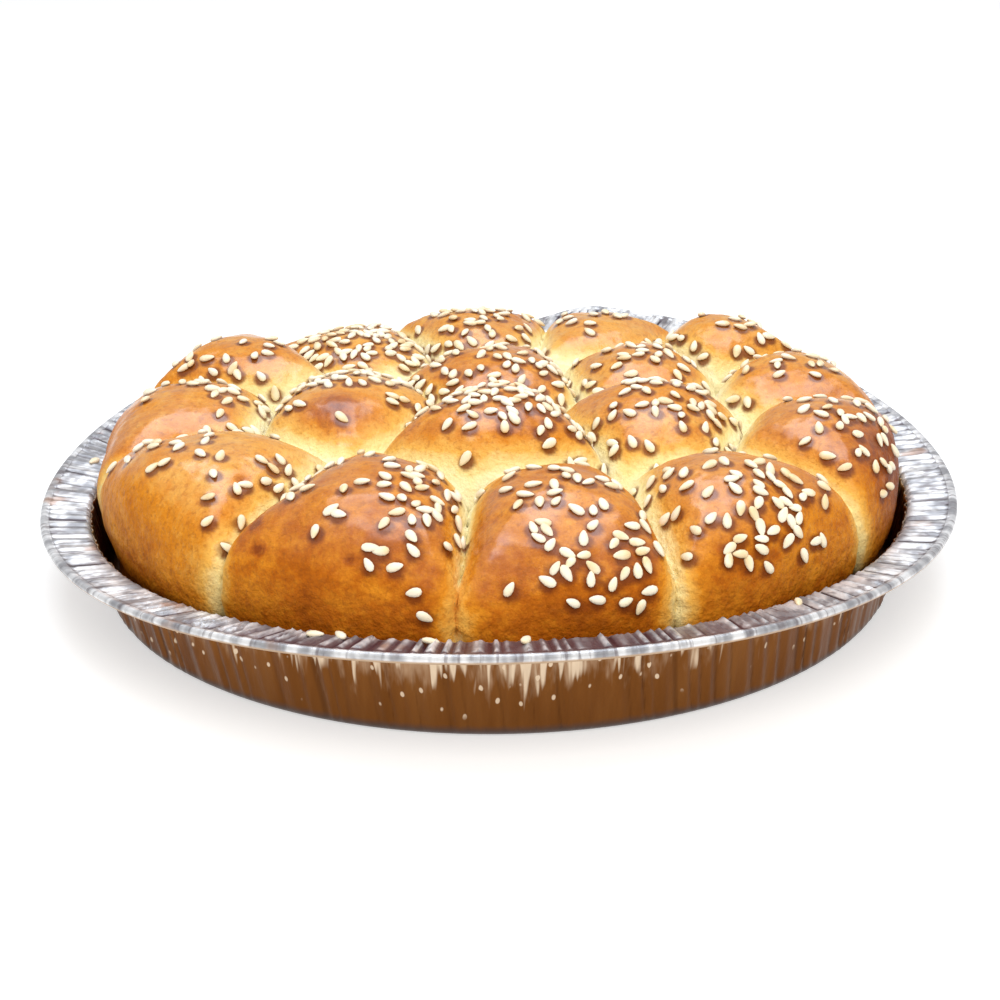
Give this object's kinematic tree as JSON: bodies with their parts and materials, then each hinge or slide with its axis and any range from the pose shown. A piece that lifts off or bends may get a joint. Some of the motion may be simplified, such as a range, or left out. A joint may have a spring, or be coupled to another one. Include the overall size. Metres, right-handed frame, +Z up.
{
  "type": "pull-apart honeycomb bread in foil pan",
  "caption": "Round pull-apart loaf of domed cheese-filled buns with sesame seeds on a glossy brown crust, baked in a pleated foil pan with a crimped flange and rolled edge.",
  "frame": {"origin": "centre of the underside of the pan, on the plane that it stands on", "axes": "+Z up; -Y towards the side that the bread is usually seen from, +X to its right"},
  "size_m": [0.1996, 0.1996, 0.0461],
  "materials": {
    "foil": "bright crinkled foil",
    "crust": "glossy egg-washed crust, golden brown on the domes and pale yellow in the creases"
  },
  "bodies": {
    "root": {"foil_pan": "foil", "loaf": "crust"}
  },
  "joints": []
}
